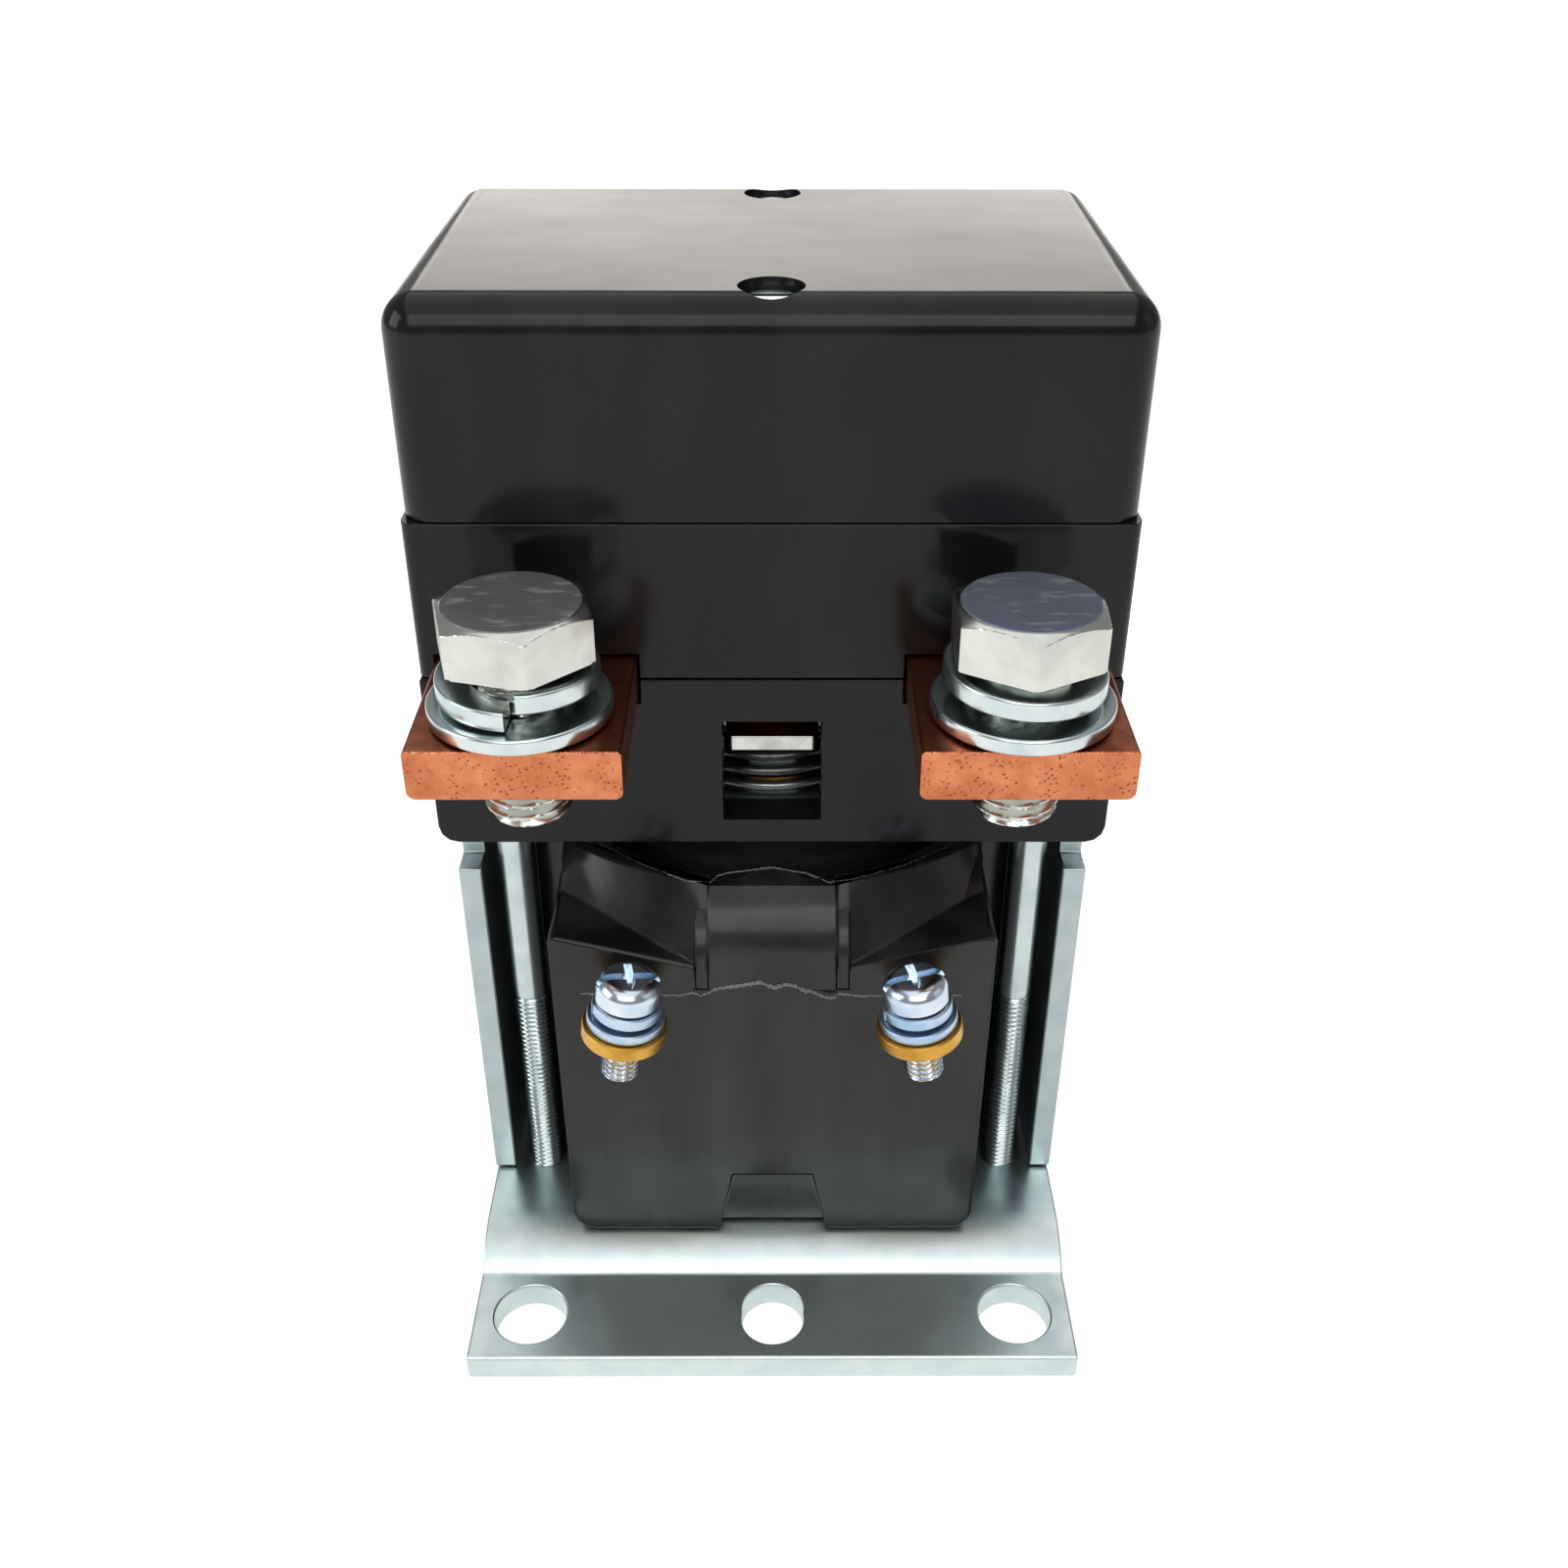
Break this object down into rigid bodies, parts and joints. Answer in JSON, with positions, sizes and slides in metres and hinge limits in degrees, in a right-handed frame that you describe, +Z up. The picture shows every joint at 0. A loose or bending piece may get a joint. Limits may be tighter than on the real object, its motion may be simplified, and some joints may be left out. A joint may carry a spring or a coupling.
{
  "type": "dc contactor",
  "caption": "Heavy-current DC contactor: black moulded contact housing with copper terminal bars and bolts, on a zinc-plated magnet frame with moulded coil and joggled mounting bracket.",
  "frame": {"origin": "middle of the bracket's footprint, on the mounting surface", "axes": "+X across the two main terminals, -Y towards the terminals and the front, +Z up through the plunger's axis"},
  "size_m": [0.084, 0.1124, 0.1362],
  "materials": {
    "black_thermoset": "glossy black thermoset moulding",
    "coil_thermoset": "dark grey coil moulding, half gloss",
    "zinc_steel": "blue-white zinc plate",
    "blue_zinc": "blue passivated zinc plate",
    "bright_steel": "bright machined steel",
    "spring_steel": "drawn spring wire",
    "copper": "sawn and rolled copper",
    "silver": "silver contact tip",
    "brass": "stamped brass",
    "winding": "enamelled copper wire",
    "bobbin": "black nylon",
    "carrier": "red-brown phenolic insulator"
  },
  "bodies": {
    "housing": {"base_bracket": "zinc_steel", "side_plate_left": "zinc_steel", "side_plate_right": "zinc_steel", "pole_plate": "zinc_steel", "frame_screw_front_left": "zinc_steel", "frame_screw_front_right": "zinc_steel", "frame_screw_rear_left": "zinc_steel", "frame_screw_rear_right": "zinc_steel", "coil_moulding": "coil_thermoset", "bobbin": "bobbin", "winding": "winding", "coil_tab_left": "brass", "coil_tab_right": "brass", "coil_flat_washer_left": "blue_zinc", "coil_flat_washer_right": "blue_zinc", "coil_spring_washer_left": "blue_zinc", "coil_spring_washer_right": "blue_zinc", "coil_screw_left": "blue_zinc", "coil_screw_right": "blue_zinc", "top_cap": "black_thermoset", "mid_body": "black_thermoset", "lower_body": "black_thermoset", "cap_screw_front": "zinc_steel", "cap_screw_rear": "zinc_steel", "terminal_bar_left": "copper", "terminal_bar_right": "copper", "fixed_tip_left": "silver", "fixed_tip_right": "silver", "flat_washer_left": "zinc_steel", "flat_washer_right": "zinc_steel", "spring_washer_left": "zinc_steel", "spring_washer_right": "zinc_steel", "terminal_bolt_left": "zinc_steel", "terminal_bolt_right": "zinc_steel", "fixed_core": "bright_steel", "core_screw": "zinc_steel", "guide_tube": "brass", "return_spring": "spring_steel"},
    "armature": {"plunger": "bright_steel", "shaft": "bright_steel", "spring_seat": "bright_steel", "guide_strap": "bright_steel", "carrier": "carrier", "top_washer": "carrier", "shaft_nut": "zinc_steel", "contact_spring": "spring_steel"},
    "bridge": {"contact_bridge": "copper", "moving_tip_left": "silver", "moving_tip_right": "silver"}
  },
  "joints": [
    {"name": "armature_slide", "type": "slide", "parent": "housing", "child": "armature", "axis": [0, 0, 1], "range_m": [-0.0055, 0], "stiffness_N_per_m": 1500, "springref_m": 0.006, "deforming": ["return_spring"]},
    {"name": "bridge_slide", "type": "slide", "parent": "armature", "child": "bridge", "axis": [0, 0, 1], "range_m": [0, 0.00155], "deforming": ["contact_spring"]}
  ],
  "couplings": [
    {"joint": "bridge_slide", "follows": "armature_slide", "ratio": -0.2818}
  ]
}
